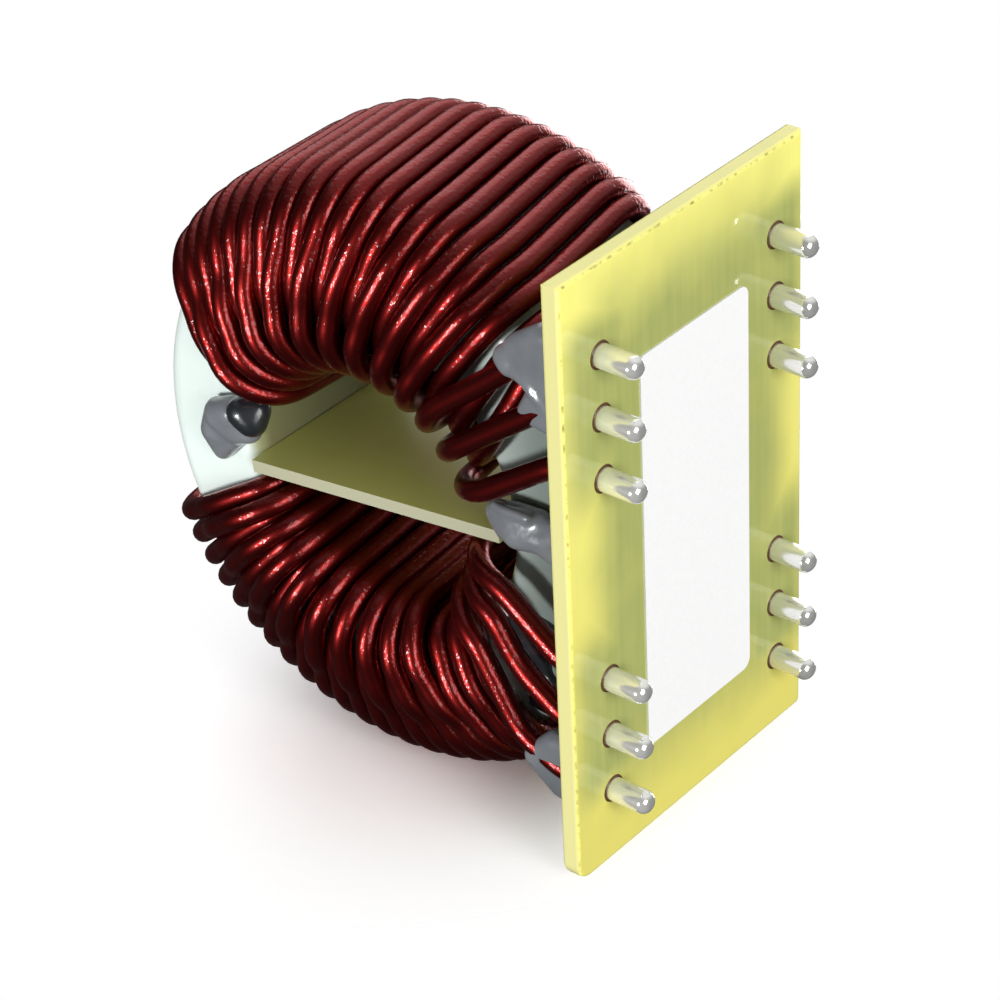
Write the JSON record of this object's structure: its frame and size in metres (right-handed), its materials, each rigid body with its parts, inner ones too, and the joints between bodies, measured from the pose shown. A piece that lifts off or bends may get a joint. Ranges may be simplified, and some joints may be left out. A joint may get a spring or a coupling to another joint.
{
  "type": "toroidal inductor",
  "caption": "Ring-core choke with two interleaved windings of thick enamelled wire, standing on edge on a drilled base board with tinned solder pins",
  "frame": {"origin": "centre of the twelve-pin pattern, on the underside of the base board", "axes": "+Z from the pins to the ring, +X along the base board, +Y along the ring's axis"},
  "size_m": [0.053, 0.0286, 0.0508],
  "materials": {
    "core_coating": "satin mint-green powder coat on ferrite",
    "divider_laminate": "cut glass-epoxy laminate",
    "board_laminate": "glossy bare glass-epoxy laminate",
    "label_paper": "matt white paper, bare",
    "enamelled_copper": "glossy dark red enamel, ends tinned",
    "tinned_copper": "bright tin coat",
    "adhesive": "glossy grey resin"
  },
  "bodies": {
    "root": {"core": "core_coating", "divider_board": "divider_laminate", "base_board": "board_laminate", "label": "label_paper", "upper_wire_1": "enamelled_copper", "upper_wire_2": "enamelled_copper", "upper_wire_3": "enamelled_copper", "lower_wire_1": "enamelled_copper", "lower_wire_2": "enamelled_copper", "lower_wire_3": "enamelled_copper", "adhesive_far_end": "adhesive", "adhesive_upper_foot": "adhesive", "adhesive_lower_foot": "adhesive", "adhesive_board_edge": "adhesive", "adhesive_coil_end": "adhesive"}
  },
  "joints": []
}
